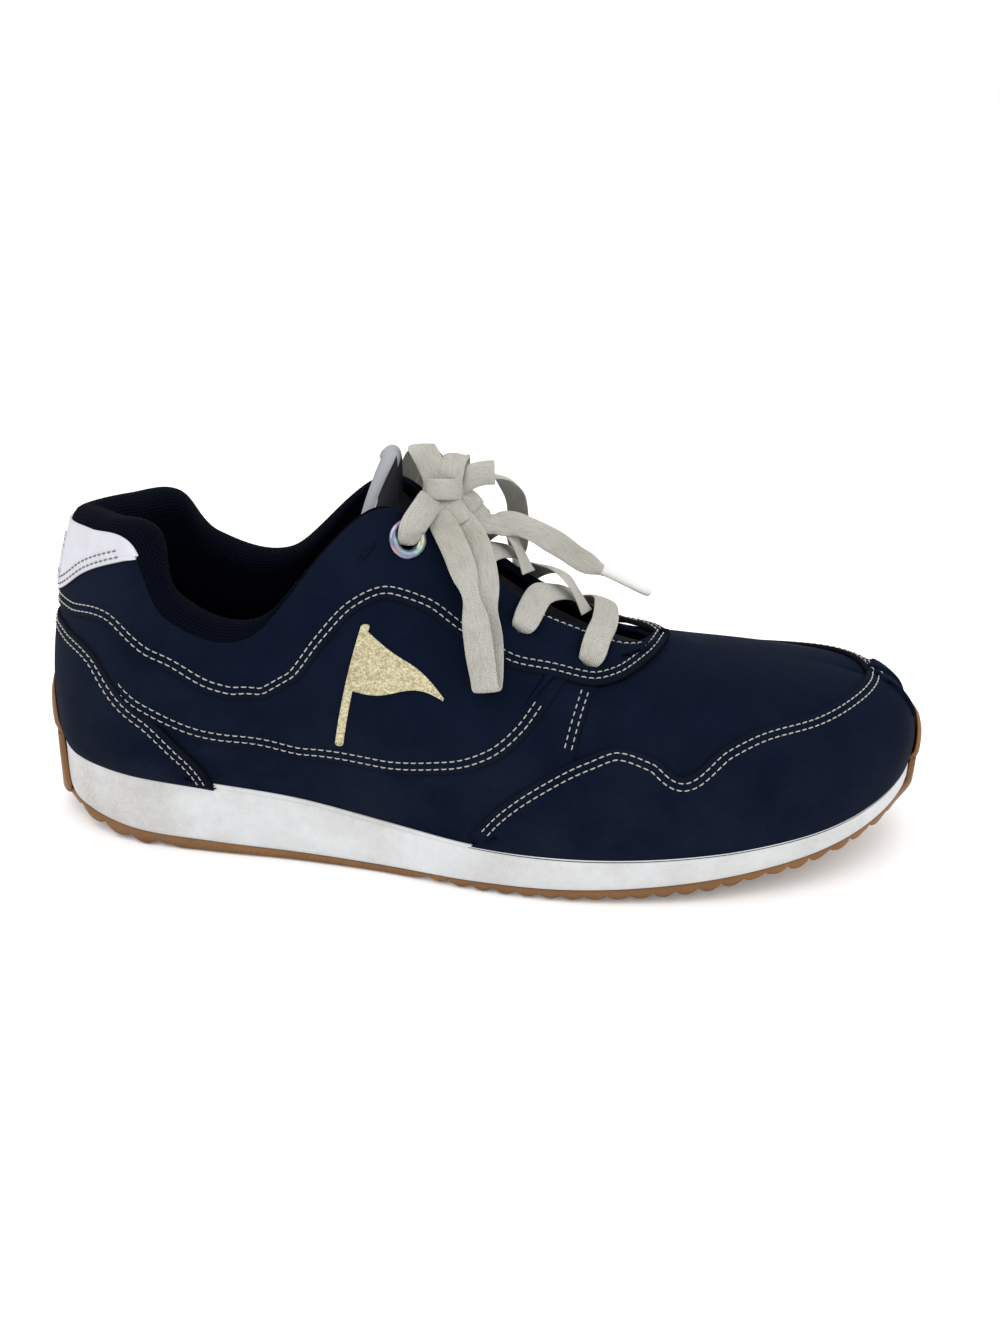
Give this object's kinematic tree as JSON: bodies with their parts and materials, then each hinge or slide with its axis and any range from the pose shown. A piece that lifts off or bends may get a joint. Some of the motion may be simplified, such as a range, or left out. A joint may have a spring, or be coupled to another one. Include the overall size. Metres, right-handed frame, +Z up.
{
  "type": "golf shoe",
  "caption": "Low spikeless golf shoe for a right foot: stitched upper with padded collar, tongue and tied flat lace on a light cup sole with a ridged rubber outsole.",
  "frame": {"origin": "on the ground, under the middle of the shoe without its free lace", "axes": "+X heel to toe, +Y to the medial side, +Z up"},
  "size_m": [0.2906, 0.1046, 0.1245],
  "materials": {
    "navy_upper": "brushed synthetic nubuck, double-stitched",
    "navy_mesh": "knitted spacer mesh lining",
    "black_trim": "matt webbing",
    "white_foam": "moulded foam midsole, satin",
    "gum_rubber": "gum rubber, matt",
    "heel_white": "smooth white synthetic",
    "soft_foam": "open-cell foam",
    "board": "fibre board",
    "lace_cotton": "flat woven cotton",
    "eyelet_metal": "iridescent plated brass",
    "emblem_glitter": "fine gold glitter film",
    "aglet_film": "clear film over lace"
  },
  "bodies": {
    "rear": {"outsole": "gum_rubber", "midsole": "white_foam", "strobel_board": "board", "sockliner": "navy_mesh", "quarter_lateral": "navy_upper", "quarter_medial": "navy_upper", "side_panel_lateral": "navy_upper", "side_panel_medial": "navy_upper", "eyestay_collar": "navy_upper", "heel_foxing": "navy_upper", "heel_tab": "heel_white", "heel_counter": "board", "quarter_lining": "navy_mesh", "collar_foam": "soft_foam", "eyelet_lateral": "eyelet_metal", "eyelet_medial": "eyelet_metal", "emblem_lateral": "emblem_glitter", "lace_bar": "lace_cotton", "lace_cross_3a": "lace_cotton", "lace_cross_3b": "lace_cotton", "lace_cross_2a": "lace_cotton", "lace_cross_2b": "lace_cotton", "lace_riser_lateral": "lace_cotton", "lace_riser_medial": "lace_cotton", "loop_lateral": "lace_cotton", "loop_medial": "lace_cotton", "tail_lateral": "lace_cotton", "tail_medial": "lace_cotton", "aglet_lateral": "aglet_film", "aglet_medial": "aglet_film", "lace_knot": "lace_cotton"},
    "toe": {"toe_puff": "board", "vamp": "navy_upper", "toe_guard": "navy_upper", "vamp_lining": "navy_mesh"},
    "tongue": {"tongue_shell": "black_trim", "tongue_foam": "soft_foam", "tongue_lining": "navy_mesh"}
  },
  "joints": [
    {"name": "toe_flex", "type": "hinge", "parent": "rear", "child": "toe", "pos_m": [0.068, 0, 0.008], "axis": [0, -1, 0], "range_deg": [0, 30], "stiffness_Nm_per_rad": 8, "deforming": ["outsole", "midsole", "strobel_board", "sockliner", "vamp", "toe_guard", "vamp_lining", "toe_puff"]},
    {"name": "tongue_tilt", "type": "hinge", "parent": "rear", "child": "tongue", "pos_m": [0.0465, 0, 0.0635], "axis": [0, -1, 0], "range_deg": [0, 12], "stiffness_Nm_per_rad": 0.3}
  ]
}
